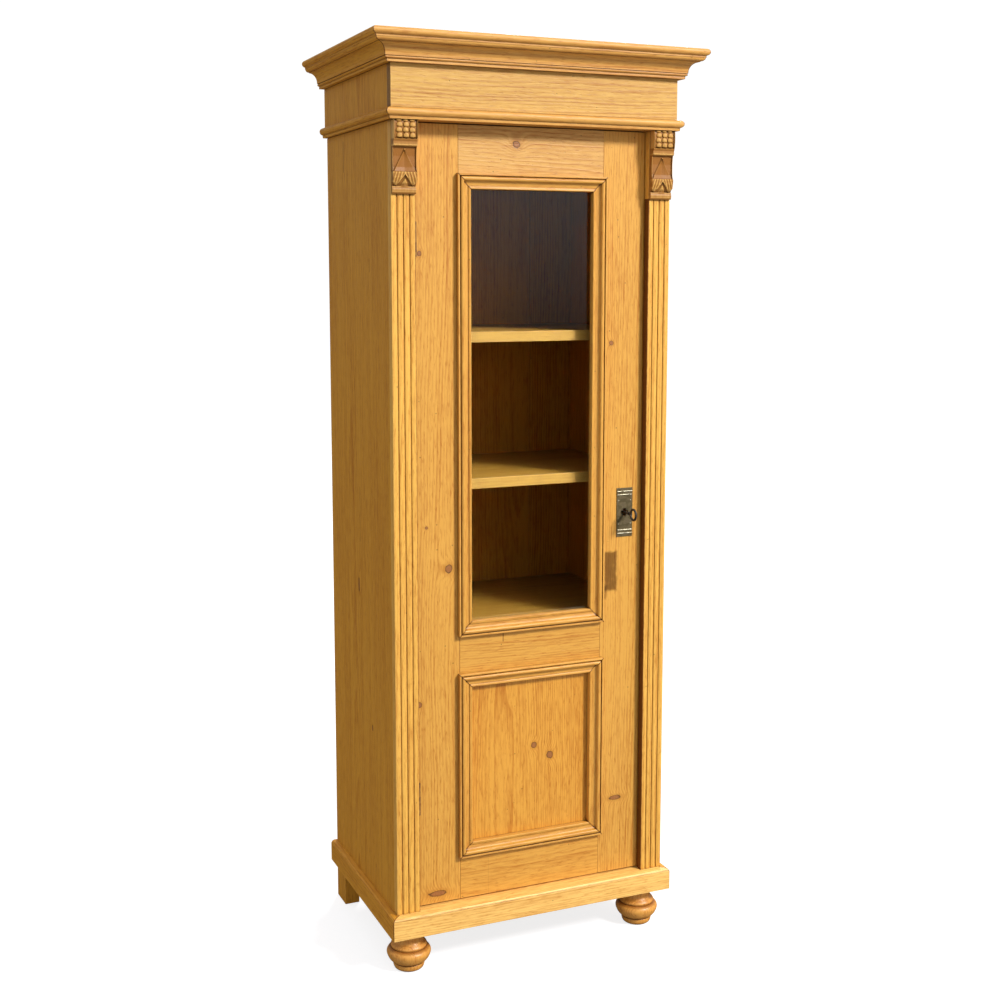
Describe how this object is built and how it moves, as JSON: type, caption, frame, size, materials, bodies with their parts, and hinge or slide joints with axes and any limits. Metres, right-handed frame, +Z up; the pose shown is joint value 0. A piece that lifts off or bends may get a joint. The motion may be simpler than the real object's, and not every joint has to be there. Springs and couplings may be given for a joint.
{
  "type": "pantry cabinet",
  "caption": "Tall narrow pine cabinet: one door with a glass pane over a wood panel, fixed shelves, reeded pilasters with carved brackets, cove cornice, turned feet.",
  "frame": {"origin": "middle of the cornice's footprint, on the floor", "axes": "+Z up, the door faces -Y, +X to the right seen from the front"},
  "size_m": [0.743, 0.509, 1.95],
  "materials": {
    "waxed_pine": "waxed pine, soft satin, golden honey colour with knots",
    "pine_board": "waxed pine boards, vertical grain, satin",
    "inner_pine": "plain pine inside the case, dull",
    "carved_wood": "carved and waxed, darker in the hollows",
    "pane_glass": "clear sheet glass",
    "aged_brass": "dull aged brass, brighter on raised edges",
    "old_iron": "dark old iron, worn on its edges"
  },
  "bodies": {
    "case": {"astragal_front": "waxed_pine", "astragal_left": "pine_board", "astragal_right": "pine_board", "back_board_left": "inner_pine", "back_board_middle": "inner_pine", "back_board_right": "inner_pine", "bracket_left": "carved_wood", "bracket_right": "carved_wood", "bun_foot_left": "waxed_pine", "bun_foot_right": "waxed_pine", "case_top_board": "inner_pine", "cornice_front": "waxed_pine", "cornice_left": "pine_board", "cornice_right": "pine_board", "crown_rear": "pine_board", "dust_board": "inner_pine", "floor_board": "inner_pine", "frieze_front": "waxed_pine", "frieze_left": "pine_board", "frieze_right": "pine_board", "front_post_left": "pine_board", "front_post_right": "pine_board", "hinge_lower_post_leaf": "old_iron", "hinge_upper_post_leaf": "old_iron", "pilaster_left": "waxed_pine", "pilaster_right": "waxed_pine", "plinth_front": "waxed_pine", "plinth_left": "pine_board", "plinth_rear": "pine_board", "plinth_right": "pine_board", "rear_foot_left": "pine_board", "rear_foot_right": "pine_board", "shelf_lower": "inner_pine", "shelf_middle": "inner_pine", "shelf_upper": "inner_pine", "side_board_left": "pine_board", "side_board_right": "pine_board"},
    "door": {"door_stile_hinge": "waxed_pine", "door_stile_lock": "waxed_pine", "door_rail_top": "waxed_pine", "door_rail_middle": "waxed_pine", "door_rail_bottom": "waxed_pine", "door_panel": "waxed_pine", "door_glass": "pane_glass", "glass_moulding_top": "waxed_pine", "glass_moulding_bottom": "waxed_pine", "glass_moulding_left": "waxed_pine", "glass_moulding_right": "waxed_pine", "panel_moulding_top": "waxed_pine", "panel_moulding_bottom": "waxed_pine", "panel_moulding_left": "waxed_pine", "panel_moulding_right": "waxed_pine", "glazing_bead_left": "inner_pine", "glazing_bead_right": "inner_pine", "hinge_upper_door_leaf": "old_iron", "hinge_lower_door_leaf": "old_iron", "lock_plate": "aged_brass", "lock_case": "old_iron"},
    "key": {"key": "old_iron"},
    "bolt": {"lock_bolt": "aged_brass"}
  },
  "joints": [
    {"name": "door_hinge", "type": "hinge", "parent": "case", "child": "door", "pos_m": [-0.2612, -0.1713, 0.961], "axis": [0, 0, -1], "range_deg": [0, 100]},
    {"name": "key_turn", "type": "hinge", "parent": "door", "child": "key", "pos_m": [0.2235, -0.1675, 0.961], "axis": [0, 1, 0], "range_deg": [0, 360]},
    {"name": "bolt_slide", "type": "slide", "parent": "door", "child": "bolt", "axis": [1, 0, 0], "range_m": [0, 0.0101]}
  ],
  "couplings": [
    {"joint": "bolt_slide", "follows": "key_turn", "m_per_rad": 0.0015915}
  ]
}
